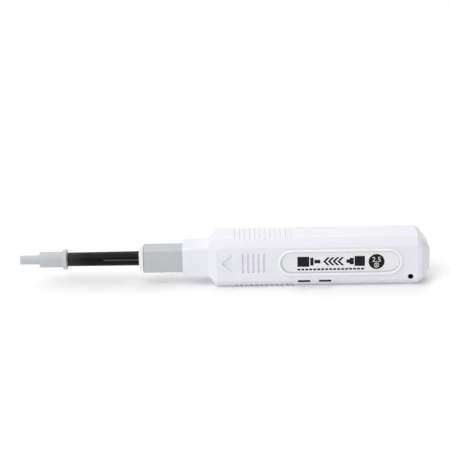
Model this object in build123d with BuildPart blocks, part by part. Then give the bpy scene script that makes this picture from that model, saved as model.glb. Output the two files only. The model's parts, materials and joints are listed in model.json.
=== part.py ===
from build123d import *
import math
import os

# Push-type cleaning pen for fibre-optic connectors, in millimetres.
# X runs along the pen from the guide cap to the rear end, +Z is up, and the label faces -Y.
# The origin lies under the middle of the pen, on the surface that the body rests on.
# A station is a distance along the pen, measured from the mouth of the guide cap.
# A height is measured from the pen's own axis, which all the turned pieces share.

# ---- Housing -------------------------------------------------------------------------------
OVERALL = 203.0
BODY_WIDTH = 23.4
BODY_HEIGHT = 25.2
BODY_CUT = 4.1  # 45 degree cut along the four long edges
WALL = 1.7
LONG_EDGE = 0.5  # rounding of the long edges
NECK = 15.4  # the square neck in front of the body
NECK_CUT = 0.9
NECK_START = 81.4
BEVEL_START = 94.2  # where the neck ends and the front bevel starts
BODY_START = 98.1  # from here on the section is full
BODY_END = 197.0
# The rear end closes in steps: station, half width, half height and corner cut.
REAR_STEPS = (
    (198.8, 11.2, 11.2, 3.6),
    (200.8, 9.4, 8.8, 2.2),
    (202.1, 8.3, 7.2, 1.3),
    (OVERALL, 7.0, 5.6, 0.8),
)
CAVITY_START = 98.7
CAVITY_END = 196.8
REAR_HOLLOW_END = 200.9
REAR_HOLLOW = (6.4, 5.6, 1.4)  # the hollow's half width, half height and corner cut there
COLLAR_SEAT = 13.9  # square seat of the neck collar, then a wider one for its flange
COLLAR_FLANGE_SEAT = 16.3
COLLAR_FLANGE_START = 97.05
COLLAR_END = 98.55
COLLAR_GAP = 0.2
COLLAR_TAPER = 4.0
COLLAR_MOUTH_INSET = 0.4  # the neck is this much narrower on each side at its mouth
COLLAR_ROUND = 0.35
COLLAR_LIP = 0.3

# ---- Features on the housing's faces ---------------------------------------------------------
FEATURE_HEIGHT = 0.65  # arrow, grip slots and label sit this far above the axis
RIB_FIRST = 107.8  # grip grooves across the top and bottom faces
RIB_PITCH = 2.51
RIB_COUNT = 12
RIB_DEPTH = 0.9
RIB_WIDTH = 1.3  # at the surface
RIB_FLOOR = 0.9
GRIP_FIRST = 111.4  # upright grip slots on the label side
GRIP_PITCH = 2.58
GRIP_COUNT = 5
GRIP_LENGTH = 10.0
GRIP_WIDTH = 1.1
GRIP_DEPTH = 0.8
ARROW_TIP = 100.9
ARROW_LENGTH = 5.0
ARROW_HALF = 4.8
ARROW_DEPTH = 0.7
LABEL_CENTRE = 159.0
LABEL_LENGTH = 58.4
LABEL_HEIGHT = 11.1
LABEL_RECESS = 0.8
LABEL_THICK = 0.4
BEAD_WIDTH = 1.1
BEAD_PROUD = 0.7
BEAD_ROUND = 0.3
LABEL_GAP = 0.1  # between the plate and the wall of its recess
LATCH_WINDOWS = (141.3, 151.6)
LATCH_LENGTH = 6.1
LATCH_LOW = -10.2
LATCH_HIGH = -8.5
CLIP_PLAY = 0.12  # between the clip's hooks and their windows
CLIP_THICK = 0.8
CLIP_LIFT = 0.04  # of the clip above the housing's floor
CLIP_BRIDGE = 6.0  # width of the bar between its two bands
CLIP_GAP = 0.06  # sideways, between the clip's bands and the long cut
CLIP_HEEL = 0.5  # the same at the inner corner of a band's foot
HOOK_SET = 0.25  # how far the hooks end inside the surface, sideways
STRAP_STATION = 193.4
STRAP_HEIGHT = -7.4
STRAP_RADIUS = 1.25

# ---- Travel and fits -------------------------------------------------------------------------
STROKE = 10.0  # the carriage sinks this far into the housing
TOUCH = 0.02  # pieces that rest on each other are drawn this far apart
OVERRUN = 1.0  # how far a cut runs on past the face it starts or ends at

# ---- Nose block and black tube -----------------------------------------------------------------
NOSE = 11.8
NOSE_EDGE = 1.2
NOSE_START = 59.7
NOSE_CHAMFER = 1.5
BEZEL_LENGTH = 2.1
BEZEL_GAP = 0.35
BEZEL_GAP_DEPTH = 0.6
NOSE_END = 98.9
NOSE_FLANGE = 14.4
NOSE_FLANGE_END = 100.9
NOSE_BORE = 3.72
NOSE_FUNNEL = 97.0  # from here the bore widens towards the thread
NOSE_FUNNEL_RADIUS = 5.3
RING_SEAT = (68.9, 70.3)  # groove of the friction ring
RING_SEAT_RADIUS = 4.65
RING_LENGTH = 1.1
RING_THICK = 0.9
RING_PLAY = 0.08
RING_ROUND = 0.2
TUBE_START = 23.9
TUBE_STEADY = 60.0  # the tube tapers in front of this station
TUBE_END = 91.0
TUBE_FRONT_RADIUS = 3.45
TUBE_RADIUS = 3.6
TUBE_BORE = 2.3
TUBE_REAR_BORE = 1.8
SPRING_SHOULDER = 62.0
KEYWAY_START = 42.0
KEYWAY_TURN = -6.0  # the keyway lies a little over the middle of the label side
# Sections of the keyway and its key, across the pen: the floor slopes down and outwards.
KEYWAY_SECTION = ((-2.95, 0.6), (-3.75, -0.79))
KEY_SECTION = ((-3.12, 0.45), (-3.5, -0.21))
KEY_LENGTH = 2.5
KEY_ROOT = 0.5  # how deep the key is sunk into the block's bore
KEYWAY_SPARE = 0.5  # the keyway runs on this far behind the key

# ---- Guide cap -----------------------------------------------------------------------------
FERRULE_BORE = 1.27  # takes a 2.5 mm ferrule
FERRULE_END = 5.3
CAP_MOUTH = 0.3  # lead-in of the bore
CAP_EDGE = 0.2
CAP_CLEARANCE = 1.45  # bore behind the ferrule, in which the head turns
CAP_TIP_FRONT = 2.25
CAP_TIP_REAR = 2.35
CAP_STEP = 9.9
CAP_BARREL = 3.97
CAP_FLANGE_START = 21.5
CAP_FLANGE = 5.05
CAP_END = 23.5
CAP_SLEEVE_PLAY = 0.12  # between the cap and the sleeve it is pushed onto
CAP_STOP_GAP = 0.4  # in front of the sleeve's end

# ---- Cleaning head ---------------------------------------------------------------------------
HEAD_FRONT = 5.7
HEAD_TIP = 1.15
HEAD_TIP_END = 14.0
HEAD_SHAFT = 1.5
HEAD_SHAFT_END = 88.0
HEAD_COLLAR = (30.8, 32.6)
HEAD_COLLAR_RADIUS = 2.1
HEAD_SQUARE = 2.0
HEAD_END = 118.0
THREAD_WIDTH = 1.2
THREAD_THICK = 0.3
THREAD_BED = 0.8  # height of the flats that the thread lies on
THREAD_LIFT = 0.03  # play between the flats and the thread
THREAD_LAP = 0.5  # the leads lie on the loop's ends for this length
SLEEVE = 2.9
SLEEVE_START = 10.9
SLEEVE_TAIL_END = 30.5
SLEEVE_BORE = 1.62
SLEEVE_EDGE = 0.4
CARRIER = (32.7, 34.7)
CARRIER_PLAY = 0.08
HEAD_SPRING_WIRE = 0.17
HEAD_SPRING_RADIUS = 1.95
HEAD_SPRING_TURNS = 11
HEAD_SPRING_GAP = 0.2  # from each end of the wire's centre line to what it bears on

# ---- Cam rotor -------------------------------------------------------------------------------
ROTOR = 4.5
ROTOR_START = 112.1
ROTOR_END = 136.9
JOURNAL = 2.2
FRONT_BEARING = (109.7, 111.7)
REAR_BEARING = (137.2, 138.9)
CAM_STATION = 132.0
CAM_TURN = 180.0  # the rotor's turn over the whole stroke
CAM_PIN = 0.85
PIN_HEAD = 2.0
PIN_HEAD_THICK = 0.95
PIN_SEAT = 0.97  # how far the pin's head stands off the wall, with its play
PIN_RING = 0.9  # wall of the ring round the pin's head
PIN_RING_HEIGHT = 1.0
PIN_SINK = 0.2  # how far the pin stops short of the groove's floor
CAM_GROOVE = 2.1
CAM_FLOOR = 3.25

# ---- Carriage, reels and feed ------------------------------------------------------------------
PLATE_INNER = 7.2
PLATE_THICK = 1.4
PLATE_HALF = 7.6
PLATE_START = 99.3
PLATE_END = 180.6
BRIDGE_HEIGHT = 7.4  # of the bearings and the tail between the side plates
CAM_SLOT = 2.6  # height of the slot that clears the cam pin
AXLE = 1.5
AXLE_EDGE = 0.2
RUN_GAP = 0.06
SUPPLY = 148.5
TAKE_UP = 167.5
REEL_RADIUS = 9.0
HUB = 3.0
FLANGE_THICK = 0.8
REEL_WINDOWS = 6  # holes through the supply reel's flanges
REEL_WINDOW = 1.3
REEL_WINDOW_PITCH = 5.9
HUB_FRONT = -3.6
HUB_REAR = 1.0
BOSS = 2.6
BOSS_REACH = 7.1
FULL_PACK = 7.2
EMPTY_PACK = 4.6
MODULE = 0.6
GEAR_TEETH = 16
GEAR_FRONT = 2.7
GEAR_REAR = 5.0
GEAR_PLAY = 0.05
RACK_FRONT = 2.9
RACK_REAR = 4.8
RACK_TEETH = 11
RACK_FOOT = 1.0  # thickness of the foot under the roof
RACK_FOOT_SIDE = 0.9  # how far the foot stands out sideways
RACK_FOOT_FRONT = 3.0  # and past the first and the last tooth
RACK_FOOT_REAR = 2.0
CLUTCH_TEETH = 12
CLUTCH_TIP = 5.5
CLUTCH_ROOT = 6.05
CLUTCH_RIM = 6.6
CLUTCH_FRONT = 1.6
CLUTCH_REAR = 2.6
CLUTCH_ARMS = 3
CLUTCH_GAP = 0.1  # sideways, between the gear's boss and the reel
# Outline of one arm: radius, and angle from the tooth that its tip rests in.
CLUTCH_ARM = ((2.3, -62), (3.5, -50), (5.3, -25), (5.85, -3), (5.1, -2.5), (4.5, -25), (2.3, -25))
RIM_TEETH = 24
RIM_ROOT = 8.5
POST = 0.9
POST_JOURNAL = 0.5
POST_STATIONS = (112.9, 137.9, 158.0)
TOP_POST = 6.2
LOW_POST = 6.85
PAWL_FRONT = -3.75
PAWL_TIP = 172.2
PAWL_LENGTH = 5.2
PAWL_HEIGHT = 7.6
PAWL_THICK = 0.3
PAWL_WIDTH = 0.6
PAWL_FOOT = (2.0, 1.4)  # length and height of the foot on the side plate
PILOT = 2.4
SEAT_THICK = 1.6
SEAT_LOW = -4.8  # lower edge of the seat
SEAT_SHOULDER = 7.4  # here its sides turn in under the roof's cuts
SEAT_TOP_INSET = 3.3  # of its top corners from the side walls
SEAT_GAP = 0.2
SEAT_PILOT = 1.8
TAIL_THICK = 1.6
TAIL_PILOT = 2.0
SPRING_WIRE = 0.3
SPRING_RADIUS = 3.4
SPRING_TURNS = 6

AXIS_Z = BODY_HEIGHT / 2
HALF_WIDTH = BODY_WIDTH / 2
HALF_HEIGHT = BODY_HEIGHT / 2
GEAR_RADIUS = MODULE * GEAR_TEETH / 2
PLATE_OUTER = PLATE_INNER + PLATE_THICK
PEN_AXIS = Axis((0, 0, AXIS_Z), (1, 0, 0))
CUT_INSET = 2 - math.sqrt(2)  # how much a 45 degree cut shrinks per mm of inset


def x_at(station):
    """X of a station."""
    return station - OVERALL / 2


def across(station, turn=0.0):
    """Plane square to the pen: local x is +Y and local y is +Z, both turned about the axis."""
    angle = math.radians(turn)
    x_dir = (0, math.cos(angle), math.sin(angle))
    return Plane(origin=(x_at(station), 0, AXIS_Z), x_dir=x_dir, z_dir=(1, 0, 0))


def along(y=0.0):
    """Plane beside the axis: local x is the station, local y the height; it faces -Y."""
    return Plane(origin=(x_at(0), y, AXIS_Z), x_dir=(1, 0, 0), z_dir=(0, -1, 0))


def cut_outline(half_width, half_height, cut):
    """Corners of a rectangle whose own corners are cut at 45 degrees."""
    quarter = [(half_width, half_height - cut), (half_width - cut, half_height)]
    left = [(-x, y) for x, y in reversed(quarter)]
    return quarter + left + [(-x, -y) for x, y in quarter + left]


def inset_outline(inset):
    """The body's section moved inwards by inset."""
    cut = BODY_CUT - CUT_INSET * inset
    return cut_outline(HALF_WIDTH - inset, HALF_HEIGHT - inset, cut)


def polar(radius, degrees, centre=0.0):
    """Point at a radius and an angle about a station on the axis."""
    angle = math.radians(degrees)
    return (centre + radius * math.cos(angle), radius * math.sin(angle))


def ribbon(points, thickness):
    """Outline of a strip of even thickness that follows points."""
    upper, lower = [], []
    for i, (x, y) in enumerate(points):
        before = points[max(i - 1, 0)]
        after = points[min(i + 1, len(points) - 1)]
        first = math.atan2(y - before[1], x - before[0]) if i else None
        last = math.atan2(after[1] - y, after[0] - x) if i < len(points) - 1 else None
        start = last if first is None else first
        end = first if last is None else last
        middle = (start + end) / 2
        reach = thickness / 2 / math.cos((end - start) / 2)
        dx, dy = -math.sin(middle) * reach, math.cos(middle) * reach
        upper.append((x + dx, y + dy))
        lower.append((x - dx, y - dy))
    return upper + lower[::-1]


def tangent_on(centre, radius, point, side):
    """Where a line from point touches a circle about a station; side is 1 for over, -1 for under."""
    dx, dy = point[0] - centre, point[1]
    reach = math.hypot(dx, dy)
    angle = math.atan2(dy, dx)
    spread = math.acos(radius / reach)
    best = max((angle + spread, angle - spread), key=lambda a: side * math.sin(a))
    return (centre + radius * math.cos(best), radius * math.sin(best))


def gear_outline(teeth, module, play):
    """Involute gear with one tooth pointing up, each flank thinned by play."""
    pitch_radius = module * teeth / 2
    base = pitch_radius * math.cos(math.radians(20))
    root, tip = pitch_radius - 1.25 * module, pitch_radius + module
    half_tooth = math.pi / (2 * teeth) - play / pitch_radius
    roll = math.tan(math.radians(20)) - math.radians(20)
    flank = [(root, half_tooth + roll)]
    steps = 5
    for i in range(steps + 1):
        radius = base + (tip - base) * i / steps
        pressure = math.acos(base / radius)
        flank.append((radius, half_tooth + roll - (math.tan(pressure) - pressure)))
    points = []
    for tooth in range(teeth):
        middle = 90 + 360 * tooth / teeth
        points += [polar(r, middle - math.degrees(a)) for r, a in flank]
        points += [polar(r, middle + math.degrees(a)) for r, a in reversed(flank)]
    return points


def saw_outline(teeth, low, high, rising, centre=0.0):
    """Saw-tooth ring: each tooth ramps between two radii and then steps back."""
    pitch = 360 / teeth
    first, last = (low, high) if rising else (high, low)
    points = []
    for tooth in range(teeth):
        points.append(polar(first, tooth * pitch, centre))
        points.append(polar(last, (tooth + 1) * pitch, centre))
    return points


def coil_about_axis(start, length, turns, radius, first_turn=0.0):
    """Right-handed helix about the pen's axis, starting at an angle from +Y towards +Z."""
    centre = (x_at(start), 0, AXIS_Z)
    coil = Helix(pitch=length / turns, height=length, radius=radius, center=centre, direction=(1, 0, 0))
    return coil.rotate(PEN_AXIS, first_turn - 90)  # a helix along X starts above its axis


def save(piece, name):
    """Label a piece and write it as its own file."""
    piece.part.label = name
    export_step(piece.part, f"parts/{name}.step")


os.makedirs("parts", exist_ok=True)

# ==== Housing =================================================================================
rear_sections = ((BODY_END, HALF_WIDTH, HALF_HEIGHT, BODY_CUT),) + REAR_STEPS
with BuildPart() as housing_blank:
    with BuildSketch(across(BEVEL_START)):
        Polygon(*cut_outline(NECK / 2, NECK / 2, NECK_CUT), align=None)
        fillet(vertices(), radius=LONG_EDGE / 2)
    with BuildSketch(across(BODY_START)):
        Polygon(*inset_outline(0), align=None)
        fillet(vertices(), radius=LONG_EDGE)
    loft(ruled=True)
    with BuildSketch(across(BODY_START)):
        Polygon(*inset_outline(0), align=None)
        fillet(vertices(), radius=LONG_EDGE)
    extrude(amount=BODY_END - BODY_START)
    for front, rear in zip(rear_sections, rear_sections[1:]):
        for station, half_width, half_height, cut in (front, rear):
            with BuildSketch(across(station)):
                Polygon(*cut_outline(half_width, half_height, cut), align=None)
                fillet(vertices(), radius=LONG_EDGE)
        loft(ruled=True)
    # Raised bead round the label recess, on both sides.
    for side in (-1, 1):
        with BuildSketch(along(side * HALF_WIDTH)):
            with Locations((LABEL_CENTRE, FEATURE_HEIGHT)):
                SlotOverall(LABEL_LENGTH + 2 * BEAD_WIDTH, LABEL_HEIGHT + 2 * BEAD_WIDTH)
                SlotOverall(LABEL_LENGTH, LABEL_HEIGHT, mode=Mode.SUBTRACT)
        extrude(amount=-side * BEAD_PROUD)
        crest = housing_blank.edges().sort_by(Axis.Y).group_by(Axis.Y)[0 if side < 0 else -1]
        fillet(crest, radius=BEAD_ROUND)
        with BuildSketch(along(side * HALF_WIDTH)):
            with Locations((LABEL_CENTRE, FEATURE_HEIGHT)):
                SlotOverall(LABEL_LENGTH, LABEL_HEIGHT)
        extrude(amount=side * LABEL_RECESS, mode=Mode.SUBTRACT)
    # Grip grooves across the top and bottom, running out through the long cuts.
    flare = (RIB_WIDTH - RIB_FLOOR) / 2 / RIB_DEPTH  # a groove's side, sideways per mm of height
    rib_mouth = RIB_WIDTH / 2 + 0.3 * flare
    groove = [(-rib_mouth, 0.3), (rib_mouth, 0.3), (RIB_FLOOR / 2, -RIB_DEPTH), (-RIB_FLOOR / 2, -RIB_DEPTH)]
    ribs = [RIB_FIRST + RIB_PITCH * i for i in range(RIB_COUNT)]
    with BuildSketch(along(HALF_WIDTH - BODY_CUT + RIB_DEPTH)):
        with Locations(*[(station, HALF_HEIGHT) for station in ribs]):
            Polygon(*groove, align=None)
        with Locations(*[(station, -HALF_HEIGHT) for station in ribs]):
            Polygon(*[(x, -y) for x, y in groove], align=None)
    extrude(amount=2 * (HALF_WIDTH - BODY_CUT + RIB_DEPTH), mode=Mode.SUBTRACT)
    # Seat of the neck, then the hollow body.
    with BuildSketch(across(BEVEL_START)):
        Rectangle(COLLAR_SEAT, COLLAR_SEAT)
    extrude(amount=CAVITY_START - BEVEL_START, mode=Mode.SUBTRACT)
    with BuildSketch(across(COLLAR_FLANGE_START - 0.05)):
        Rectangle(COLLAR_FLANGE_SEAT, COLLAR_FLANGE_SEAT)
    extrude(amount=CAVITY_START - COLLAR_FLANGE_START + 0.05, mode=Mode.SUBTRACT)
    with BuildSketch(across(CAVITY_START)):
        Polygon(*inset_outline(WALL), align=None)
    extrude(amount=CAVITY_END - CAVITY_START, mode=Mode.SUBTRACT)
    with BuildSketch(across(CAVITY_END)):
        Polygon(*inset_outline(WALL), align=None)
    with BuildSketch(across(REAR_HOLLOW_END)):
        Polygon(*cut_outline(*REAR_HOLLOW), align=None)
    loft(ruled=True, mode=Mode.SUBTRACT)
    # Strap hole through both side walls.
    with BuildSketch(along(HALF_WIDTH + OVERRUN)):
        with Locations((STRAP_STATION, STRAP_HEIGHT)):
            Circle(STRAP_RADIUS)
    extrude(amount=BODY_WIDTH + 2 * OVERRUN, mode=Mode.SUBTRACT)
    # Windows for the clip that holds the two shells together.
    for side in (-1, 1):
        with BuildSketch(along(side * (HALF_WIDTH - WALL - 2.5))):
            with Locations(*[(station, (LATCH_LOW + LATCH_HIGH) / 2) for station in LATCH_WINDOWS]):
                Rectangle(LATCH_LENGTH, LATCH_HIGH - LATCH_LOW)
        extrude(amount=-side * 6, mode=Mode.SUBTRACT)

cavity_side = HALF_WIDTH - WALL
cavity_top = HALF_HEIGHT - WALL
with BuildPart() as front_shell:
    add(housing_blank.part)
    split(bisect_by=Plane.XZ, keep=Keep.TOP)
    with BuildSketch(along(-HALF_WIDTH)):
        Polygon(
            (ARROW_TIP, FEATURE_HEIGHT),
            (ARROW_TIP + ARROW_LENGTH, FEATURE_HEIGHT - ARROW_HALF),
            (ARROW_TIP + ARROW_LENGTH, FEATURE_HEIGHT + ARROW_HALF),
            align=None,
        )
    extrude(amount=-ARROW_DEPTH, mode=Mode.SUBTRACT)
    with BuildSketch(along(-HALF_WIDTH)):
        with Locations(*[(GRIP_FIRST + GRIP_PITCH * i, FEATURE_HEIGHT) for i in range(GRIP_COUNT)]):
            SlotOverall(GRIP_LENGTH, GRIP_WIDTH, rotation=90)
    extrude(amount=-GRIP_DEPTH, mode=Mode.SUBTRACT)
    # Ring that holds the head of the cam pin.
    with BuildSketch(along(-cavity_side + PIN_RING_HEIGHT)):
        with Locations((CAM_STATION, 0)):
            Circle(PIN_HEAD + PIN_RING)
            Circle(PIN_HEAD + 0.05, mode=Mode.SUBTRACT)
    extrude(amount=PIN_RING_HEIGHT + WALL / 2)
save(front_shell, "front_shell")

with BuildPart() as rear_shell:
    add(housing_blank.part)
    split(bisect_by=Plane.XZ, keep=Keep.BOTTOM)
save(rear_shell, "rear_shell")

# Dark clip on the housing's floor: its four hooks reach into the windows of both shells.
lean = cavity_side + cavity_top - (BODY_CUT - CUT_INSET * WALL)  # |y| + |height| on the long cut, inside
hook_half = LATCH_LENGTH / 2 - CLIP_PLAY
hook_low, hook_high = LATCH_LOW + CLIP_PLAY, LATCH_HIGH - CLIP_PLAY
outer_lean = HALF_WIDTH + HALF_HEIGHT - BODY_CUT - HOOK_SET
floor = -cavity_top + CLIP_LIFT
clip_side = [
    (lean + floor - CLIP_GAP, floor),
    (lean + hook_low - CLIP_GAP, hook_low),
    (outer_lean + hook_low, hook_low),
    (outer_lean + hook_high, hook_high),
    (lean + hook_high - CLIP_THICK * math.sqrt(2), hook_high),
    (lean + floor - CLIP_HEEL, floor + CLIP_THICK),
]
with BuildPart() as latch_clip:
    for station in LATCH_WINDOWS:
        with BuildSketch(across(station - hook_half)):
            Polygon(*clip_side, *[(-y, height) for y, height in reversed(clip_side)], align=None)
        extrude(amount=2 * hook_half)
    with BuildSketch(across(LATCH_WINDOWS[0])):
        with Locations((0, floor + CLIP_THICK / 2)):
            Rectangle(CLIP_BRIDGE, CLIP_THICK)
    extrude(amount=LATCH_WINDOWS[1] - LATCH_WINDOWS[0])
save(latch_clip, "latch_clip")

with BuildPart() as nose_collar:
    with BuildSketch(across(NECK_START)):
        mouth = NECK / 2 - COLLAR_MOUTH_INSET
        Polygon(*cut_outline(mouth, mouth, NECK_CUT), align=None)
        fillet(vertices(), radius=COLLAR_ROUND)
    with BuildSketch(across(NECK_START + COLLAR_TAPER)):
        Polygon(*cut_outline(NECK / 2, NECK / 2, NECK_CUT), align=None)
        fillet(vertices(), radius=COLLAR_ROUND)
    loft(ruled=True)
    fillet(nose_collar.faces().sort_by(Axis.X)[0].edges(), radius=COLLAR_LIP)
    with BuildSketch(across(NECK_START + COLLAR_TAPER)):
        Polygon(*cut_outline(NECK / 2, NECK / 2, NECK_CUT), align=None)
        fillet(vertices(), radius=COLLAR_ROUND)
    extrude(amount=BEVEL_START - NECK_START - COLLAR_TAPER)
    with BuildSketch(across(BEVEL_START)):
        Rectangle(COLLAR_SEAT - COLLAR_GAP, COLLAR_SEAT - COLLAR_GAP)
    extrude(amount=COLLAR_FLANGE_START - BEVEL_START)
    with BuildSketch(across(COLLAR_FLANGE_START)):
        Rectangle(COLLAR_FLANGE_SEAT - COLLAR_GAP, COLLAR_FLANGE_SEAT - COLLAR_GAP)
    extrude(amount=COLLAR_END - COLLAR_FLANGE_START)
    with BuildSketch(across(NECK_START)):
        RectangleRounded(NOSE + 2 * COLLAR_GAP, NOSE + 2 * COLLAR_GAP, NOSE_EDGE)
    extrude(amount=COLLAR_END - NECK_START, mode=Mode.SUBTRACT)
save(nose_collar, "nose_collar")

for side, name in ((-1, "label_plate"), (1, "rear_label_plate")):
    with BuildPart() as plate:
        with BuildSketch(along(side * (HALF_WIDTH - LABEL_RECESS))):
            with Locations((LABEL_CENTRE, FEATURE_HEIGHT)):
                SlotOverall(LABEL_LENGTH - 2 * LABEL_GAP, LABEL_HEIGHT - 2 * LABEL_GAP)
        extrude(amount=-side * LABEL_THICK)
    save(plate, name)

# Fixed rack: a blade that hangs from the roof of the rear shell, teeth down.
pitch = math.pi * MODULE
slope = math.tan(math.radians(20))
tip_half = pitch / 4 - MODULE * slope - GEAR_PLAY
root_half = pitch / 4 + 1.25 * MODULE * slope - GEAR_PLAY
rack_root = GEAR_RADIUS + 1.25 * MODULE
rack_tip = GEAR_RADIUS - MODULE
rack_tooth = [(-root_half, rack_root), (-tip_half, rack_tip), (tip_half, rack_tip), (root_half, rack_root)]
rack_first = TAKE_UP - 2.5 * pitch
rack_end = rack_first + (RACK_TEETH - 0.5) * pitch
foot_low, foot_high = cavity_top - RACK_FOOT, cavity_top - 0.03
with BuildPart() as feed_rack:
    with BuildSketch(along(RACK_REAR)):
        Polygon(
            (rack_first - pitch / 2, rack_root),
            (rack_end, rack_root),
            (rack_end, foot_low),
            (rack_first - pitch / 2, foot_low),
            align=None,
        )
        with Locations(*[(rack_first + pitch * i, 0) for i in range(RACK_TEETH)]):
            Polygon(*rack_tooth, align=None)
    extrude(amount=RACK_REAR - RACK_FRONT)
    with BuildSketch(along(RACK_REAR + RACK_FOOT_SIDE)):
        Polygon(
            (rack_first - RACK_FOOT_FRONT, foot_low),
            (rack_end + RACK_FOOT_REAR, foot_low),
            (rack_end + RACK_FOOT_REAR, foot_high),
            (rack_first - RACK_FOOT_FRONT, foot_high),
            align=None,
        )
    extrude(amount=RACK_REAR - RACK_FRONT + 2 * RACK_FOOT_SIDE)
save(feed_rack, "feed_rack")

with BuildPart() as cam_pin:
    with BuildSketch(along(-cavity_side + PIN_SEAT)):
        with Locations((CAM_STATION, 0)):
            Circle(PIN_HEAD)
    extrude(amount=PIN_HEAD_THICK)
    with BuildSketch(along(-CAM_FLOOR - PIN_SINK)):
        with Locations((CAM_STATION, 0)):
            Circle(CAM_PIN)
    extrude(amount=cavity_side - PIN_SEAT - CAM_FLOOR - PIN_SINK)
save(cam_pin, "cam_pin")

seat_front = CAVITY_END - SEAT_THICK
seat_side = [
    (cavity_side - SEAT_GAP, SEAT_LOW),
    (cavity_side - SEAT_GAP, SEAT_SHOULDER),
    (cavity_side - SEAT_TOP_INSET, cavity_top - SEAT_GAP),
]
with BuildPart() as spring_seat:
    with BuildSketch(across(seat_front)):
        Polygon(*seat_side, *[(-y, height) for y, height in reversed(seat_side)], align=None)
    extrude(amount=SEAT_THICK - TOUCH)
    with BuildSketch(across(seat_front - SEAT_PILOT)):
        Circle(PILOT)
    extrude(amount=SEAT_PILOT)
save(spring_seat, "spring_seat")

# ==== Carriage ================================================================================
bezel_end = NOSE_START + BEZEL_LENGTH
with BuildPart() as nose_bezel:
    nose_face = NOSE - 2 * NOSE_CHAMFER
    with BuildSketch(across(NOSE_START)):
        RectangleRounded(nose_face, nose_face, NOSE_EDGE / 2)
    with BuildSketch(across(bezel_end)):
        RectangleRounded(NOSE, NOSE, NOSE_EDGE)
    loft(ruled=True)
    with BuildSketch(across(NOSE_START)):
        Circle(NOSE_BORE)
    extrude(amount=BEZEL_LENGTH, mode=Mode.SUBTRACT)
save(nose_bezel, "nose_bezel")

with BuildPart() as nose_block:
    # A small land keeps a thin shadow gap behind the bezel.
    with BuildSketch(across(bezel_end)):
        RectangleRounded(NOSE - 2 * BEZEL_GAP_DEPTH, NOSE - 2 * BEZEL_GAP_DEPTH, NOSE_EDGE)
    extrude(amount=BEZEL_GAP)
    with BuildSketch(across(bezel_end + BEZEL_GAP)):
        RectangleRounded(NOSE, NOSE, NOSE_EDGE)
    extrude(amount=NOSE_END - bezel_end - BEZEL_GAP)
    with BuildSketch(across(NOSE_END)):
        Rectangle(NOSE_FLANGE, NOSE_FLANGE)
    extrude(amount=NOSE_FLANGE_END - NOSE_END)
    with BuildSketch(along()):
        Polygon(
            (NOSE_START - OVERRUN, 0),
            (NOSE_START - OVERRUN, NOSE_BORE),
            (RING_SEAT[0], NOSE_BORE),
            (RING_SEAT[0], RING_SEAT_RADIUS),
            (RING_SEAT[1], RING_SEAT_RADIUS),
            (RING_SEAT[1], NOSE_BORE),
            (NOSE_FUNNEL, NOSE_BORE),
            (NOSE_FLANGE_END + OVERRUN, NOSE_FUNNEL_RADIUS),
            (NOSE_FLANGE_END + OVERRUN, 0),
            align=None,
        )
    revolve(axis=PEN_AXIS, mode=Mode.SUBTRACT)
    # Key that runs in the black tube's keyway.
    with BuildSketch(across(bezel_end, KEYWAY_TURN)):
        key_root = [(-NOSE_BORE - KEY_ROOT, height) for _, height in reversed(KEY_SECTION)]
        Polygon(*KEY_SECTION, *key_root, align=None)
    extrude(amount=KEY_LENGTH)
save(nose_block, "nose_block")

with BuildPart() as friction_ring:
    with BuildSketch(along()):
        with Locations((sum(RING_SEAT) / 2, RING_SEAT_RADIUS - RING_THICK / 2 - RING_PLAY)):
            Rectangle(RING_LENGTH, RING_THICK)
            fillet(vertices(), radius=RING_ROUND)
    revolve(axis=PEN_AXIS)
save(friction_ring, "friction_ring")

posts = [(station, TOP_POST) for station in POST_STATIONS[:2]] + [(POST_STATIONS[0], -TOP_POST)]
posts += [(station, -LOW_POST) for station in POST_STATIONS[1:]]
plate_middle = (PLATE_START + PLATE_END) / 2
for side, name in ((-1, "front_side_plate"), (1, "rear_side_plate")):
    with BuildPart() as side_plate:
        with BuildSketch(along(PLATE_OUTER if side > 0 else -PLATE_INNER)):
            with Locations((plate_middle, 0)):
                RectangleRounded(PLATE_END - PLATE_START, 2 * PLATE_HALF, 1.0)
            with Locations((SUPPLY, 0), (TAKE_UP, 0)):
                Circle(AXLE + TOUCH, mode=Mode.SUBTRACT)
            with Locations(*posts):
                Circle(POST_JOURNAL + TOUCH, mode=Mode.SUBTRACT)
            with Locations((CAM_STATION - STROKE / 2, 0)):
                SlotOverall(STROKE + CAM_SLOT + 0.3, CAM_SLOT, mode=Mode.SUBTRACT)
        extrude(amount=PLATE_THICK)
    save(side_plate, name)

with BuildPart() as guide_posts:
    with BuildSketch(along(PLATE_INNER)):
        with Locations(*posts):
            Circle(POST)
    extrude(amount=2 * PLATE_INNER)
    with BuildSketch(along(PLATE_OUTER)):
        with Locations(*posts):
            Circle(POST_JOURNAL)
    extrude(amount=2 * PLATE_OUTER)
save(guide_posts, "guide_posts")

for span, name in ((FRONT_BEARING, "front_bearing"), (REAR_BEARING, "rear_bearing")):
    with BuildPart() as bearing:
        with BuildSketch(across(span[0])):
            Rectangle(2 * PLATE_INNER, BRIDGE_HEIGHT)
            Circle(JOURNAL + RUN_GAP, mode=Mode.SUBTRACT)
        extrude(amount=span[1] - span[0])
    save(bearing, name)

with BuildPart() as carriage_tail:
    with BuildSketch(across(PLATE_END - TAIL_THICK)):
        Rectangle(2 * PLATE_INNER, BRIDGE_HEIGHT)
    extrude(amount=TAIL_THICK)
    with BuildSketch(across(PLATE_END)):
        Circle(PILOT)
    extrude(amount=TAIL_PILOT)
save(carriage_tail, "carriage_tail")

for centre, name in ((SUPPLY, "supply_axle"), (TAKE_UP, "take_up_axle")):
    with BuildPart() as axle:
        with BuildSketch(along(PLATE_OUTER)):
            with Locations((centre, 0)):
                Circle(AXLE)
        extrude(amount=2 * PLATE_OUTER)
        chamfer(axle.edges().filter_by(GeomType.CIRCLE), length=AXLE_EDGE)
    save(axle, name)

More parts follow.
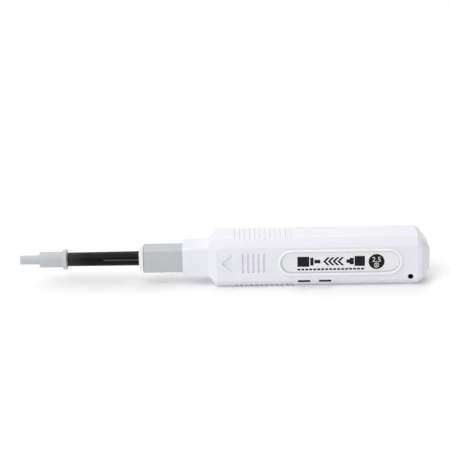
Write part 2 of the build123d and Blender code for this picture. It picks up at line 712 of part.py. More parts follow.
with BuildPart() as anti_reverse_pawl:
    with BuildSketch(along(PAWL_FRONT)):
        with Locations((PAWL_TIP + PAWL_LENGTH / 2, PAWL_HEIGHT)):
            Rectangle(PAWL_LENGTH, PAWL_THICK)
    extrude(amount=PAWL_WIDTH)
    foot_height = PAWL_HEIGHT + (PAWL_THICK - PAWL_FOOT[1]) / 2
    with BuildSketch(along(PAWL_FRONT)):
        with Locations((PAWL_TIP + PAWL_LENGTH + PAWL_FOOT[0] / 2, foot_height)):
            Rectangle(*PAWL_FOOT)
    extrude(amount=PLATE_INNER + PAWL_FRONT)
save(anti_reverse_pawl, "anti_reverse_pawl")

# ==== Return spring ===========================================================================
spring_length = seat_front - PLATE_END - 2 * SPRING_WIRE
coil = coil_about_axis(PLATE_END + SPRING_WIRE, spring_length, SPRING_TURNS, SPRING_RADIUS)
with BuildPart() as return_spring:
    with BuildSketch(Plane(origin=coil @ 0, z_dir=coil % 0)):
        Circle(SPRING_WIRE)
    sweep(path=coil, is_frenet=True)
save(return_spring, "return_spring")

# ==== Black tube, sleeve and guide cap ========================================================
with BuildPart() as extension_tube:
    with BuildSketch(along()):
        Polygon(
            (TUBE_START, TUBE_BORE),
            (TUBE_START, TUBE_FRONT_RADIUS),
            (TUBE_STEADY, TUBE_RADIUS),
            (TUBE_END, TUBE_RADIUS),
            (TUBE_END, TUBE_REAR_BORE),
            (SPRING_SHOULDER, TUBE_REAR_BORE),
            (SPRING_SHOULDER, TUBE_BORE),
            align=None,
        )
    revolve(axis=PEN_AXIS)
    with BuildSketch(across(KEYWAY_START, KEYWAY_TURN)):
        Polygon(*KEYWAY_SECTION, (-TUBE_RADIUS - 0.5, KEYWAY_SECTION[0][1]), align=None)
    extrude(amount=bezel_end + KEY_LENGTH + KEYWAY_SPARE - KEYWAY_START, mode=Mode.SUBTRACT)
save(extension_tube, "extension_tube")

with BuildPart() as nozzle_sleeve:
    with BuildSketch(along()):
        Polygon(
            (SLEEVE_START, SLEEVE_BORE),
            (SLEEVE_START, SLEEVE - SLEEVE_EDGE),
            (SLEEVE_START + SLEEVE_EDGE, SLEEVE),
            (TUBE_START, SLEEVE),
            (TUBE_START, TUBE_BORE - TOUCH),
            (SLEEVE_TAIL_END, TUBE_BORE - TOUCH),
            (SLEEVE_TAIL_END, SLEEVE_BORE),
            align=None,
        )
    revolve(axis=PEN_AXIS)
save(nozzle_sleeve, "nozzle_sleeve")

with BuildPart() as guide_cap:
    with BuildSketch(along()):
        Polygon(
            (0, FERRULE_BORE + CAP_MOUTH),
            (0, CAP_TIP_FRONT - CAP_EDGE),
            (CAP_EDGE, CAP_TIP_FRONT),
            (CAP_STEP, CAP_TIP_REAR),
            (CAP_STEP, CAP_BARREL - CAP_EDGE),
            (CAP_STEP + CAP_EDGE, CAP_BARREL),
            (CAP_FLANGE_START, CAP_BARREL),
            (CAP_FLANGE_START, CAP_FLANGE - CAP_EDGE),
            (CAP_FLANGE_START + CAP_EDGE, CAP_FLANGE),
            (CAP_END - CAP_EDGE, CAP_FLANGE),
            (CAP_END, CAP_FLANGE - CAP_EDGE),
            (CAP_END, SLEEVE + CAP_SLEEVE_PLAY),
            (SLEEVE_START - CAP_STOP_GAP, SLEEVE + CAP_SLEEVE_PLAY),
            (SLEEVE_START - CAP_STOP_GAP, CAP_CLEARANCE),
            (FERRULE_END, CAP_CLEARANCE),
            (FERRULE_END, FERRULE_BORE),
            (CAP_MOUTH, FERRULE_BORE),
            align=None,
        )
    revolve(axis=PEN_AXIS)
save(guide_cap, "guide_cap")

# ==== Cleaning head ===========================================================================
with BuildPart() as head_carrier:
    with BuildSketch(along()):
        Polygon(
            (CARRIER[0], HEAD_SHAFT + CARRIER_PLAY),
            (CARRIER[0], TUBE_BORE - CARRIER_PLAY),
            (CARRIER[1], TUBE_BORE - CARRIER_PLAY),
            (CARRIER[1], HEAD_SHAFT + CARRIER_PLAY),
            align=None,
        )
    revolve(axis=PEN_AXIS)
save(head_carrier, "head_carrier")

spring_length = SPRING_SHOULDER - CARRIER[1] - 2 * HEAD_SPRING_GAP
spring_front = CARRIER[1] + HEAD_SPRING_GAP
coil = coil_about_axis(spring_front, spring_length, HEAD_SPRING_TURNS, HEAD_SPRING_RADIUS)
with BuildPart() as head_spring:
    with BuildSketch(Plane(origin=coil @ 0, z_dir=coil % 0)):
        Circle(HEAD_SPRING_WIRE)
    sweep(path=coil, is_frenet=True)
save(head_spring, "head_spring")

with BuildPart() as head_spindle:
    with BuildSketch(along()):
        Polygon(
            (HEAD_FRONT, 0),
            (HEAD_FRONT, HEAD_TIP),
            (HEAD_TIP_END, HEAD_TIP),
            (HEAD_TIP_END + 0.6, HEAD_SHAFT),
            (HEAD_COLLAR[0], HEAD_SHAFT),
            (HEAD_COLLAR[0], HEAD_COLLAR_RADIUS),
            (HEAD_COLLAR[1], HEAD_COLLAR_RADIUS),
            (HEAD_COLLAR[1], HEAD_SHAFT),
            (HEAD_SHAFT_END, HEAD_SHAFT),
            (HEAD_SHAFT_END, 0),
            align=None,
        )
    revolve(axis=PEN_AXIS)
    # Beds for the thread, above and below.
    with BuildSketch(across(HEAD_FRONT - 0.5)):
        with Locations((0, THREAD_BED + 1), (0, -THREAD_BED - 1)):
            Rectangle(THREAD_WIDTH + 0.5, 2)
    extrude(amount=HEAD_SHAFT_END - HEAD_FRONT + 1, mode=Mode.SUBTRACT)
    with BuildSketch(across(HEAD_SHAFT_END - 0.5)):
        Rectangle(HEAD_SQUARE, 2 * THREAD_BED - 0.1)
    extrude(amount=HEAD_END - HEAD_SHAFT_END + 0.5)
save(head_spindle, "head_spindle")

strand = THREAD_BED + THREAD_LIFT + THREAD_THICK / 2
loop_front = HEAD_FRONT - TOUCH - THREAD_THICK
with BuildPart() as thread_tip_loop:
    with BuildSketch(along(THREAD_WIDTH / 2)):
        Polygon(
            (loop_front, -strand - THREAD_THICK / 2),
            (HEAD_SHAFT_END, -strand - THREAD_THICK / 2),
            (HEAD_SHAFT_END, -strand + THREAD_THICK / 2),
            (HEAD_FRONT - TOUCH, -strand + THREAD_THICK / 2),
            (HEAD_FRONT - TOUCH, strand - THREAD_THICK / 2),
            (HEAD_SHAFT_END, strand - THREAD_THICK / 2),
            (HEAD_SHAFT_END, strand + THREAD_THICK / 2),
            (loop_front, strand + THREAD_THICK / 2),
            align=None,
        )
    extrude(amount=THREAD_WIDTH)
save(thread_tip_loop, "thread_tip_loop")

# ==== Cam rotor ===============================================================================
groove_margin = 1.0
groove_start = CAM_STATION - STROKE - groove_margin
groove_length = STROKE + 2 * groove_margin
turn_per_mm = CAM_TURN / STROKE
start_turn = 180 - turn_per_mm * (CAM_STATION - groove_start)
groove_radius = (CAM_FLOOR + ROTOR + 0.8) / 2
cam_path = coil_about_axis(
    groove_start, groove_length, groove_length * turn_per_mm / 360, groove_radius, start_turn
)
outward = (0, math.cos(math.radians(start_turn)), math.sin(math.radians(start_turn)))
with BuildPart() as cam_rotor:
    with BuildSketch(across(FRONT_BEARING[0])):
        Circle(JOURNAL)
    extrude(amount=REAR_BEARING[1] - FRONT_BEARING[0])
    with BuildSketch(across(ROTOR_START)):
        Circle(ROTOR)
    extrude(amount=ROTOR_END - ROTOR_START)
    with BuildSketch(across(FRONT_BEARING[0] - 1)):
        Rectangle(HEAD_SQUARE + 0.3, 2 * THREAD_BED + 0.2)
    extrude(amount=REAR_BEARING[1] - FRONT_BEARING[0] + 2, mode=Mode.SUBTRACT)
    # Helical groove for the cam pin.
    with BuildSketch(Plane(origin=cam_path @ 0, x_dir=outward, z_dir=cam_path % 0)):
        Rectangle(2 * (groove_radius - CAM_FLOOR), CAM_GROOVE)
    sweep(path=cam_path, is_frenet=True, mode=Mode.SUBTRACT)
save(cam_rotor, "cam_rotor")

# ==== Reels and feed gear =====================================================================
with BuildPart() as supply_reel:
    with BuildSketch(along(BOSS_REACH)):
        with Locations((SUPPLY, 0)):
            Circle(BOSS)
    extrude(amount=2 * BOSS_REACH)
    with BuildSketch(along(HUB_REAR)):
        with Locations((SUPPLY, 0)):
            Circle(HUB)
    extrude(amount=HUB_REAR - HUB_FRONT)
    for y in (HUB_REAR + FLANGE_THICK, HUB_FRONT):
        with BuildSketch(along(y)):
            with Locations((SUPPLY, 0)):
                Circle(REEL_RADIUS)
                with PolarLocations(REEL_WINDOW_PITCH, REEL_WINDOWS):
                    Circle(REEL_WINDOW, mode=Mode.SUBTRACT)
        extrude(amount=FLANGE_THICK)
    with BuildSketch(along(BOSS_REACH)):
        with Locations((SUPPLY, 0)):
            Circle(AXLE + RUN_GAP)
    extrude(amount=2 * BOSS_REACH, mode=Mode.SUBTRACT)
save(supply_reel, "supply_reel")

with BuildPart() as take_up_reel:
    with BuildSketch(along(CLUTCH_FRONT)):
        with Locations((TAKE_UP, 0)):
            Circle(HUB)
    extrude(amount=CLUTCH_FRONT + BOSS_REACH)
    with BuildSketch(along(HUB_FRONT)):
        Polygon(*saw_outline(RIM_TEETH, RIM_ROOT, REEL_RADIUS, False, TAKE_UP), align=None)
    extrude(amount=FLANGE_THICK)
    with BuildSketch(along(CLUTCH_FRONT)):
        with Locations((TAKE_UP, 0)):
            Circle(REEL_RADIUS)
    extrude(amount=CLUTCH_FRONT - HUB_REAR)
    with BuildSketch(along(CLUTCH_REAR)):
        with Locations((TAKE_UP, 0)):
            Circle(CLUTCH_RIM)
        Polygon(
            *saw_outline(CLUTCH_TEETH, CLUTCH_TIP, CLUTCH_ROOT, True, TAKE_UP),
            align=None,
            mode=Mode.SUBTRACT,
        )
    extrude(amount=CLUTCH_REAR - CLUTCH_FRONT)
    with BuildSketch(along(BOSS_REACH)):
        with Locations((TAKE_UP, 0)):
            Circle(AXLE + RUN_GAP)
    extrude(amount=2 * BOSS_REACH, mode=Mode.SUBTRACT)
save(take_up_reel, "take_up_reel")

for centre, radius, name in ((SUPPLY, FULL_PACK, "supply_thread"), (TAKE_UP, EMPTY_PACK, "take_up_thread")):
    with BuildPart() as pack:
        with BuildSketch(along(HUB_REAR - 0.05)):
            with Locations((centre, 0)):
                Circle(radius)
                Circle(HUB + TOUCH, mode=Mode.SUBTRACT)
        extrude(amount=HUB_REAR - HUB_FRONT - 0.1)
    save(pack, name)

with BuildPart() as drive_gear:
    with BuildSketch(along(GEAR_REAR)):
        with Locations((TAKE_UP, 0)):
            Polygon(*gear_outline(GEAR_TEETH, MODULE, GEAR_PLAY), align=None)
    extrude(amount=GEAR_REAR - GEAR_FRONT)
    with BuildSketch(along(BOSS_REACH)):
        with Locations((TAKE_UP, 0)):
            Circle(BOSS)
    extrude(amount=BOSS_REACH - CLUTCH_FRONT - CLUTCH_GAP)
    # Spring arms of the one-way clutch, one tip in every fourth tooth of the reel's ring.
    with BuildSketch(along(GEAR_FRONT)):
        for arm in range(CLUTCH_ARMS):
            tip = 360 / CLUTCH_TEETH + arm * 360 / CLUTCH_ARMS
            Polygon(*[polar(r, tip + a, TAKE_UP) for r, a in CLUTCH_ARM], align=None)
    extrude(amount=GEAR_FRONT - CLUTCH_FRONT - CLUTCH_GAP)
    with BuildSketch(along(BOSS_REACH)):
        with Locations((TAKE_UP, 0)):
            Circle(AXLE + RUN_GAP)
    extrude(amount=2 * BOSS_REACH, mode=Mode.SUBTRACT)
save(drive_gear, "drive_gear")

# ==== Thread between the reels and the nozzle =================================================
half_thick = THREAD_THICK / 2 + TOUCH
top_line = TOP_POST + POST + half_thick
bottom_line = -TOP_POST - POST - half_thick
low_line = -LOW_POST - POST - half_thick
supply_run = [(POST_STATIONS[0] + 0.1, top_line), (POST_STATIONS[1], top_line)]
supply_run.append(tangent_on(SUPPLY, FULL_PACK + half_thick, supply_run[-1], 1))
return_run = [(POST_STATIONS[0] + 0.1, bottom_line)]
return_run += [(station, low_line) for station in POST_STATIONS[1:]]
return_run.append(tangent_on(TAKE_UP, EMPTY_PACK + half_thick, return_run[-1], -1))
lap = strand + THREAD_THICK + TOUCH
lead_start = HEAD_SHAFT_END - THREAD_LAP
lead_end = POST_STATIONS[0] - 0.3
thread_runs = {
    "supply_thread_run": supply_run,
    "return_thread_run": return_run,
    "supply_thread_lead": [(lead_start, lap), (TUBE_END + 0.6, lap + 0.1), (lead_end, top_line)],
    "return_thread_lead": [(lead_start, -lap), (TUBE_END + 0.6, -lap - 0.1), (lead_end, bottom_line)],
}
for name, route in thread_runs.items():
    with BuildPart() as run:
        with BuildSketch(along(THREAD_WIDTH / 2)):
            Polygon(*ribbon(route, THREAD_THICK), align=None)
        extrude(amount=THREAD_WIDTH)
    save(run, name)
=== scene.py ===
import json
import math

import bmesh
import bpy
from mathutils import Matrix, Vector


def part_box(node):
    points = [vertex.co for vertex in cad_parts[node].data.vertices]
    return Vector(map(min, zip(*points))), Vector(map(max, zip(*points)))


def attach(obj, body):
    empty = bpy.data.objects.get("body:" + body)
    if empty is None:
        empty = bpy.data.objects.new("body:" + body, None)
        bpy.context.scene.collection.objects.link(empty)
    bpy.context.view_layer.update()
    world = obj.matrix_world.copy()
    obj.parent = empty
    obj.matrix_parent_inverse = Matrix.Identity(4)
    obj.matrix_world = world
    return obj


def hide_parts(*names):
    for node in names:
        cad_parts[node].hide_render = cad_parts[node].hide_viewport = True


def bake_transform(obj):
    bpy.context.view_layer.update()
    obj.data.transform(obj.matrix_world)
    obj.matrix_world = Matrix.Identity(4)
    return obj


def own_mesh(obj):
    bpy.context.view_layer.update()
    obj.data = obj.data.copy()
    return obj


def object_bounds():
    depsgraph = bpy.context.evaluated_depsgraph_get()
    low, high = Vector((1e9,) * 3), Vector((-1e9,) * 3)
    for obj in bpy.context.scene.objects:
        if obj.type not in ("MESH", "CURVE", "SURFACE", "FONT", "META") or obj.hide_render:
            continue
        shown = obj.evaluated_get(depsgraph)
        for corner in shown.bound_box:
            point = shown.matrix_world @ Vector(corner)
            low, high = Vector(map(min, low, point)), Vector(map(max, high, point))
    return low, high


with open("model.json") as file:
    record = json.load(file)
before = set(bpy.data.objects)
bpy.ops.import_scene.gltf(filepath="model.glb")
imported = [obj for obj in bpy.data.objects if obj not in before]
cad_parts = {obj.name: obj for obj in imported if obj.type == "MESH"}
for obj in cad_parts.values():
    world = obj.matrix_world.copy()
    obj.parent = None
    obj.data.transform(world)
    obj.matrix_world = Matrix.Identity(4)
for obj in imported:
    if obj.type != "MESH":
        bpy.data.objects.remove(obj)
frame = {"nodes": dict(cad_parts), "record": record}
cad_low, cad_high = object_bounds()
nodes = frame["nodes"]
record = frame["record"]
node_slot = {part["node"]: part["material_slot"] for part in record["subparts"]}

MM = 0.001
TRACK_RADIUS = 3.38 * MM  # only the keyway's floor lies nearer the axis than this
TRACK_EDGE = 0.1 * MM
BEAD_WIDTH = 1.1 * MM
PLATE_PLAY = 0.1 * MM  # between the label plate and the wall of its recess
PLATE_BORDER = 0.45 * MM
MARK_EDGE = 0.05 * MM  # over this distance a mark fades out
INK_THICK = 0.03 * MM
FLOOR_GAP = 0.05 * MM  # between the floor and the pen, so that their faces don't coincide
FLOOR_REACH = 6.0
WARM = (1.0, 0.982, 0.938)

tube_low, tube_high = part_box("extension_tube")
AXIS_HEIGHT = (tube_low.z + tube_high.z) / 2
label_low, label_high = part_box("label_plate")
label_centre = (label_low + label_high) / 2
label_round = (label_high.z - label_low.z) / 2
label_run = (label_high.x - label_low.x) / 2 - label_round
strap = next(mount for mount in record["mounts"] if mount["name"] == "strap_hole")
strap_radius = strap["dims"]["r_mm"] * MM


def show(name, data):
    """An object for a mesh, light, camera or text, in the scene."""
    made = bpy.data.objects.new(name, data)
    bpy.context.scene.collection.objects.link(made)
    return made


# ---- Node helpers ----------------------------------------------------------------------------
class Surface:
    """A Principled material with short names for what the recipes below need."""

    def __init__(self, name):
        self.material = bpy.data.materials.new(name)
        self.material.use_nodes = True
        self.tree = self.material.node_tree
        self.shader = self.tree.nodes["Principled BSDF"]
        self.place = self.tree.nodes.new("ShaderNodeTexCoord").outputs["Object"]

    def link(self, source, target):
        self.tree.links.new(source, target)

    def node(self, kind, **values):
        made = self.tree.nodes.new(kind)
        for key, value in values.items():
            setattr(made, key, value)
        return made

    def stretched(self, scale):
        """Object coordinates scaled along each axis; a small scale draws features out."""
        mapping = self.node("ShaderNodeMapping")
        mapping.inputs["Scale"].default_value = scale
        self.link(self.place, mapping.inputs["Vector"])
        return mapping.outputs["Vector"]

    def vector(self, operation, value, second=None):
        """One step of vector arithmetic on a socket, with a constant as the second value."""
        made = self.node("ShaderNodeVectorMath", operation=operation)
        self.link(value, made.inputs[0])
        if second is not None:
            made.inputs[1].default_value = second
        return made.outputs["Value" if operation == "LENGTH" else "Vector"]

    def off_axis(self):
        """Distance from the pen's axis."""
        moved = self.vector("SUBTRACT", self.place, (0, 0, AXIS_HEIGHT))
        return self.vector("LENGTH", self.vector("MULTIPLY", moved, (0, 1, 1)))

    def off_slot(self, centre, half_run):
        """Distance in XZ from a level line, half_run long each way from centre."""
        folded = self.vector("ABSOLUTE", self.vector("SUBTRACT", self.place, tuple(centre)))
        past = self.vector("MAXIMUM", self.vector("SUBTRACT", folded, (half_run, 0, 0)), (0, 0, 0))
        return self.vector("LENGTH", self.vector("MULTIPLY", past, (1, 0, 1)))

    def noise(self, size_mm, detail=2.0, where=None):
        """Noise whose features are about size_mm across."""
        made = self.node("ShaderNodeTexNoise")
        made.inputs["Scale"].default_value = 1.0 / (size_mm * MM)
        made.inputs["Detail"].default_value = detail
        self.link(where or self.place, made.inputs["Vector"])
        return made.outputs["Fac"]

    def spread(self, value, low, high, start=0.3, end=0.7):
        """Maps start..end to low..high, clamped."""
        made = self.node("ShaderNodeMapRange")
        for key, number in (("From Min", start), ("From Max", end), ("To Min", low), ("To Max", high)):
            made.inputs[key].default_value = number
        self.link(value, made.inputs["Value"])
        return made.outputs["Result"]

    def blend(self, factor, first, second):
        """Mixes two colours, each a tuple or a socket."""
        made = self.node("ShaderNodeMix", data_type="RGBA")
        self.link(factor, made.inputs["Factor"])
        for letter, colour in (("A", first), ("B", second)):
            socket = next(s for s in made.inputs if s.name == letter and s.type == "RGBA")
            if isinstance(colour, tuple):
                socket.default_value = (*colour, 1.0)
            else:
                self.link(colour, socket)
        return next(s for s in made.outputs if s.type == "RGBA")

    def bump(self, height, depth_mm, under=None):
        """Relief of depth_mm, laid over another bump if one is given."""
        made = self.node("ShaderNodeBump")
        made.inputs["Distance"].default_value = depth_mm * MM
        made.inputs["Strength"].default_value = 1.0
        self.link(height, made.inputs["Height"])
        if under is not None:
            self.link(under, made.inputs["Normal"])
        return made.outputs["Normal"]

    def finish(self, colour, roughness, normal, **constants):
        """Wires the shader; constants are its plain sockets, with _ for the spaces in their names."""
        self.link(colour, self.shader.inputs["Base Color"])
        self.link(roughness, self.shader.inputs["Roughness"])
        self.link(normal, self.shader.inputs["Normal"])
        for name, value in constants.items():
            self.shader.inputs[name.replace("_", " ")].default_value = value
        return self.material


def shade(colour, factor):
    """A colour made lighter or darker."""
    return tuple(min(1.0, c * factor) for c in colour)


def moulded(name, colour, roughness, grain_mm=0.16, grain_depth=0.004, cloud=0.03, wear=1.06,
            light_and_shade_marks=(), **constants):
    """Moulded plastic: faint flow clouds, a fine etched grain and slightly polished edges.

    A mark is a slot-shaped band of painted highlight or painted shade, in a tone of its own: centre, half
    run, inner and outer radius, tone.
    """
    s = Surface(name)
    dull, fresh = shade(colour, 1 - cloud), shade(colour, 1 + cloud * 0.5)
    clouds = s.blend(s.spread(s.noise(9.0, 3.0), 0, 1), dull, fresh)
    edge = s.spread(s.node("ShaderNodeNewGeometry").outputs["Pointiness"], 0.0, 1.0, 0.51, 0.58)
    tone = s.blend(edge, clouds, shade(colour, wear))
    # Each mark paints a band of highlight or shade over the tone.
    for centre, half_run, near, far, mark in light_and_shade_marks:
        away = s.off_slot(centre, half_run)
        within = s.spread(away, 0, 1, near - MARK_EDGE, near)
        beyond = s.spread(away, 0, 1, far, far + MARK_EDGE)
        tone = s.blend(within, tone, s.blend(beyond, mark, tone))
    gloss = s.spread(s.noise(2.2, 3.0), roughness * 0.86, roughness * 1.16)
    relief = s.bump(s.noise(grain_mm, 2.0), grain_depth)
    return s.finish(tone, gloss, relief, **constants)


def turned(name, colour, roughness, ring_mm=0.12, ring_depth=0.002, track_highlight=None, **constants):
    """A turned bar: fine rings round the pen's axis, a faint colour drift and, if given, a painted
    highlight along the keyway's floor.
    """
    s = Surface(name)
    rings = s.noise(ring_mm, 2.0, s.stretched((1, 0.04, 0.04)))
    tone = s.blend(s.spread(s.noise(5.0, 3.0), 0, 1), shade(colour, 0.93), shade(colour, 1.05))
    if track_highlight:
        # Painted highlight: the keyway's floor is painted lighter, as where light catches it.
        track = s.spread(s.off_axis(), 1, 0, TRACK_RADIUS, TRACK_RADIUS + TRACK_EDGE)
        tone = s.blend(track, tone, track_highlight)
    gloss = s.spread(rings, roughness * 0.85, roughness * 1.15)
    return s.finish(tone, gloss, s.bump(rings, ring_depth), **constants)


def woven(name, colour):
    """Microfibre thread: twisted strands with fine fibres between them."""
    s = Surface(name)
    strands = s.node("ShaderNodeTexWave", wave_type="BANDS", bands_direction="DIAGONAL")
    strands.inputs["Scale"].default_value = 1.0 / (1.6 * MM)
    strands.inputs["Distortion"].default_value = 1.2
    strands.inputs["Detail"].default_value = 2.0
    s.link(s.place, strands.inputs["Vector"])
    fibres = s.noise(0.05, 3.0, s.stretched((0.3, 1, 1)))
    # Painted shade: the thread is darker in the grooves between its strands.
    strand_shade = s.spread(strands.outputs["Fac"], 0, 1, 0.1, 0.9)
    tone = s.blend(strand_shade, shade(colour, 0.86), shade(colour, 1.03))
    relief = s.bump(fibres, 0.01, s.bump(strands.outputs["Fac"], 0.04))
    gloss = s.spread(fibres, 0.75, 0.95)
    return s.finish(tone, gloss, relief, Sheen_Weight=0.25, Sheen_Roughness=0.5)


def printed(name, colour, roughness, **constants):
    """Screen-printed ink: almost even, with pinholes and a slight orange peel."""
    s = Surface(name)
    is_pale = sum(colour) > 1.5
    pinhole = shade(colour, 0.86) if is_pale else tuple(c + 0.03 for c in colour)
    speck = s.spread(s.noise(0.11, 1.0), 0, 1, 0.62, 0.70)
    tone = s.blend(speck, colour, pinhole)
    gloss = s.spread(s.noise(0.8, 2.0), roughness * 0.9, roughness * 1.1)
    return s.finish(tone, gloss, s.bump(s.noise(0.3, 2.0), 0.002), **constants)


# ---- One finish for each material slot ---------------------------------------------------------
# The bead round the label has a painted highlight, the plate a painted shadow along its border, and the
# strap hole painted shade inside.
recess_round = label_round + PLATE_PLAY
# Painted highlight: the bead round the label is painted lighter than the housing.
bead_highlight_mark = (label_centre, label_run, recess_round, recess_round + BEAD_WIDTH, (0.96, 0.96, 0.985))
# Painted shadow: the label plate is darker along its border, where the recess wall shades it.
border_shadow_mark = (label_centre, label_run, label_round - PLATE_BORDER, label_round, (0.74, 0.74, 0.76))
# Painted shade: the wall of the strap hole is painted almost black.
strap_shade_mark = (strap["pos_m"], 0, 0, strap_radius + MARK_EDGE, (0.012, 0.012, 0.02))
FINISHES = {
    "housing_white": moulded("housing_white", (0.855, 0.852, 0.91), 0.34, cloud=0.012, wear=1.04,
                             light_and_shade_marks=(bead_highlight_mark, strap_shade_mark), Coat_Weight=0.12),
    "label_grey": moulded("label_grey", (0.885, 0.89, 0.90), 0.5, 0.07, 0.002, 0.015, 1.0,
                          light_and_shade_marks=(border_shadow_mark,)),
    "grey_plastic": moulded("grey_plastic", (0.54, 0.565, 0.585), 0.46, 0.13, 0.005, 0.03),
    # The black tube's keyway floor carries a painted highlight.
    "black_plastic": turned("black_plastic", (0.006, 0.0053, 0.0042), 0.36, track_highlight=(0.085, 0.073, 0.067),
                            Specular_IOR_Level=0.11),
    "natural_acetal": moulded("natural_acetal", (0.80, 0.79, 0.74), 0.4, Subsurface_Weight=0.1,
                              Subsurface_Scale=0.001),
    "frame_grey": moulded("frame_grey", (0.33, 0.34, 0.36), 0.5, 0.22, 0.008, 0.06),
    "blue_acetal": moulded("blue_acetal", (0.10, 0.22, 0.42), 0.38),
    "head_white": turned("head_white", (0.84, 0.84, 0.81), 0.4),
    "steel": turned("steel", (0.60, 0.60, 0.61), 0.26, 0.06, 0.001, Metallic=1.0),
    "spring_steel": turned("spring_steel", (0.46, 0.46, 0.47), 0.32, 0.05, 0.001, Metallic=1.0),
    "ring_rubber": moulded("ring_rubber", (0.03, 0.03, 0.032), 0.72, 0.10, 0.006),
    "cleaning_thread": woven("cleaning_thread", (0.88, 0.88, 0.86)),
}
for node_name, slot_name in node_slot.items():
    slots = nodes[node_name].data.materials
    if not len(slots):
        slots.append(None)
    for i in range(len(slots)):
        slots[i] = FINISHES[slot_name]


# ---- Springs and thread, shown as copies of their CAD nodes -----------------------------------
def stand_in(node):
    """A copy of a CAD node that can deform, shown in the node's place."""
    made = show(node + "_flexing", nodes[node].data.copy())
    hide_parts(node)
    return made


def compressing(node, body):
    """A spring on body, shown as a copy of its CAD node with a mesh of its own."""
    spring = stand_in(node)
    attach(spring, body)
    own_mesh(spring)


compressing("return_spring", "housing")
compressing("head_spring", "extension")
for lead_node in ("supply_thread_lead", "return_thread_lead"):
    lead = stand_in(lead_node)
    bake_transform(lead)

# ---- Label print -----------------------------------------------------------------------------
dark_ink = printed("dark_ink", (0.010, 0.0105, 0.012), 0.5, Specular_IOR_Level=0.15)
pale_ink = printed("pale_ink", (0.82, 0.82, 0.82), 0.42)


def print_flat(name, outlines, ink, lift=0.0):
    """Ink on the label: outlines in mm about the label's centre, each as a thin closed slab."""
    mesh = bpy.data.meshes.new(name)
    shape = bmesh.new()
    back = label_low.y - lift
    for outline in outlines:
        ring = []
        for x, z in outline:
            corner = (label_centre.x + x * MM, back - INK_THICK, label_centre.z + z * MM)
            ring.append(shape.verts.new(corner))
        face = shape.faces.new(ring)
        for pushed in bmesh.ops.extrude_face_region(shape, geom=[face])["geom"]:
            if isinstance(pushed, bmesh.types.BMVert):
                pushed.co.y = back
    bmesh.ops.recalc_face_normals(shape, faces=shape.faces)
    shape.to_mesh(mesh)
    shape.free()
    mesh.materials.append(ink)
    made = show(name, mesh)
    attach(made, "housing")


def on_circle(x, z, radius, angles):
    return [(x + radius * math.cos(angle), z + radius * math.sin(angle)) for angle in angles]


def circle(x, z, radius, count=96):
    return on_circle(x, z, radius, [2 * math.pi * i / count for i in range(count)])


def half_ring(x, z, radius, thick, side, gap=12, count=24):
    """Half of a ring, gap degrees short at each end, like a split sleeve seen end on."""
    angles = [side * math.radians(gap + (180 - 2 * gap) * i / count) for i in range(count + 1)]
    return on_circle(x, z, radius, angles) + on_circle(x, z, radius - thick, angles[::-1])


def block(left, right, low, high):
    return [(left, low), (right, low), (right, high), (left, high)]


def bar(left, right, half):
    """A block of the pictogram, centred on its middle line."""
    return block(left, right, MIDDLE - half, MIDDLE + half)


def chevron(tip, middle, half, thick):
    back = tip + half
    return [(tip, middle), (back, middle + half), (back + thick, middle + half), (tip + thick, middle),
            (back + thick, middle - half), (back, middle - half)]


# All in mm about the label's centre.
DISC_X, DISC_Z, DISC_RADIUS = 17.7, -0.15, 3.9
DIGITS_UP, DIGITS_SIZE = 0.95, 3.7
RING_DOWN, RING_RADIUS, RING_LINE = 1.85, 1.25, 0.4
ring_z = DISC_Z - RING_DOWN
print_flat("label_disc", [circle(DISC_X, DISC_Z, DISC_RADIUS)], dark_ink)
sleeve = [half_ring(DISC_X, ring_z, RING_RADIUS, RING_LINE, side) for side in (1, -1)]
print_flat("label_sleeve", sleeve + [circle(DISC_X, ring_z, RING_LINE, 24)], pale_ink, INK_THICK)

# Pictogram: a stepped nozzle pushed towards a plug, with chevrons that show which way.
MIDDLE = 0.3
LEFT = -21.0
CHEVRONS, CHEVRON_FIRST, CHEVRON_PITCH = 4, -8.4, 2.3
DASHES, DASH_PITCH, DASH_LENGTH = 17, 1.95, 1.4
plug = [bar(LEFT, -15.2, 2.6), bar(-14.7, -13.1, 2.0), bar(-12.7, -9.8, 0.9)]
arrows = [chevron(CHEVRON_FIRST + CHEVRON_PITCH * i, MIDDLE, 2.1, 1.25) for i in range(CHEVRONS)]
pen = [bar(3.0, 4.6, 0.9), bar(4.6, 6.6, 1.7), bar(7.0, 12.0, 2.6)]
dash_starts = [LEFT + DASH_PITCH * i for i in range(DASHES)]
print_flat("label_plug", plug, dark_ink)
print_flat("label_chevrons", arrows, dark_ink)
print_flat("label_pen", pen, dark_ink)
print_flat("label_rule", [block(start, start + DASH_LENGTH, -4.2, -3.3) for start in dash_starts], dark_ink)

digits = bpy.data.curves.new("label_digits", "FONT")
digits.body = "2.5"
digits.size = DIGITS_SIZE * MM
digits.align_x = "CENTER"
digits.align_y = "CENTER"
digits.extrude = INK_THICK / 2
text = show("digits_source", digits)
digits_x = label_centre.x + DISC_X * MM
digits_z = label_centre.z + (DISC_Z + DIGITS_UP) * MM
digits_place = Matrix.Translation((digits_x, label_low.y - INK_THICK * 1.5, digits_z))
text.matrix_world = digits_place @ Matrix.Rotation(math.pi / 2, 4, "X")
bpy.context.view_layer.update()
number_mesh = bpy.data.meshes.new_from_object(text.evaluated_get(bpy.context.evaluated_depsgraph_get()))
number_mesh.transform(text.matrix_world)
bpy.data.objects.remove(text)
number_mesh.materials.clear()
number_mesh.materials.append(pale_ink)
number = show("label_digits", number_mesh)
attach(number, "housing")

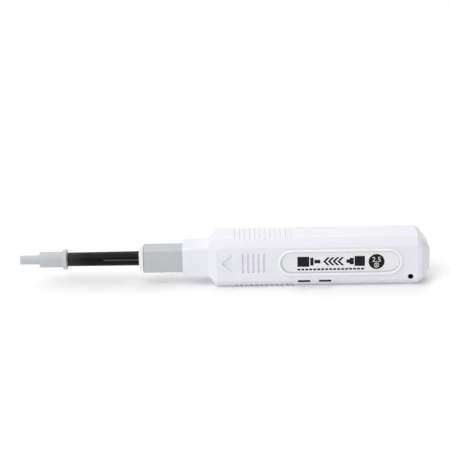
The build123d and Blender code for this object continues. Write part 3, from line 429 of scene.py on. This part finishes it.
# ---- Floor, light and camera -------------------------------------------------------------------
floor_mesh = bpy.data.meshes.new("floor")
corners = [(x, z, 0) for x, z in block(-FLOOR_REACH, FLOOR_REACH, -FLOOR_REACH, FLOOR_REACH)]
floor_mesh.from_pydata(corners, [], [(0, 1, 2, 3)])
floor = show("floor", floor_mesh)
floor.location.z = cad_low.z - FLOOR_GAP
floor_look = bpy.data.materials.new("floor_white")
floor_look.use_nodes = True
floor_sockets = floor_look.node_tree.nodes["Principled BSDF"].inputs
floor_sockets["Base Color"].default_value = (0.95, 0.95, 0.955, 1)
floor_sockets["Roughness"].default_value = 0.9
floor_sockets["Specular IOR Level"].default_value = 0.1
floor_sockets["Emission Color"].default_value = (1, 1, 1, 1)
floor_sockets["Emission Strength"].default_value = 0.075
floor_mesh.materials.append(floor_look)


def soft_light(name, place, size, power, colour=(1, 1, 1)):
    """A round area light aimed at the pen's middle."""
    lamp = bpy.data.lights.new(name, "AREA")
    lamp.color = colour
    lamp.shape = "DISK"
    lamp.size = size
    lamp.energy = power
    made = show(name, lamp)
    made.location = place
    made.rotation_euler = (-Vector(place)).to_track_quat("-Z", "Y").to_euler()


soft_light("key", (-0.85, -0.95, 1.5), 1.7, 19.7)
soft_light("back", (0, 1.2, 1.4), 1.6, 10.1, WARM)
soft_light("top", (0, 0.2, 1.8), 1.0, 6.0, WARM)
soft_light("side", (-1.8, -0.2, 0.6), 1.0, 1.3)
world = bpy.data.worlds.new("studio")
world.use_nodes = True
sky = world.node_tree.nodes["Background"].inputs
sky["Color"].default_value = (0.97, 0.98, 1.0, 1)
sky["Strength"].default_value = 0.36
bpy.context.scene.world = world
bpy.context.scene.view_settings.view_transform = "Standard"

lens = bpy.data.cameras.new("camera")
lens.sensor_width = 36.0
lens.lens = 112.0
lens.clip_start = 0.01
camera = show("camera", lens)
camera_place = Vector((0.01886, -0.65422, 0.25448))
camera_target = Vector((0.0012, 0, 0.0294))
camera_roll = math.radians(-1.46)
look = (camera_target - camera_place).to_track_quat("-Z", "Y").to_matrix().to_4x4()
camera.matrix_world = Matrix.Translation(camera_place) @ look @ Matrix.Rotation(camera_roll, 4, "Z")
bpy.context.scene.camera = camera
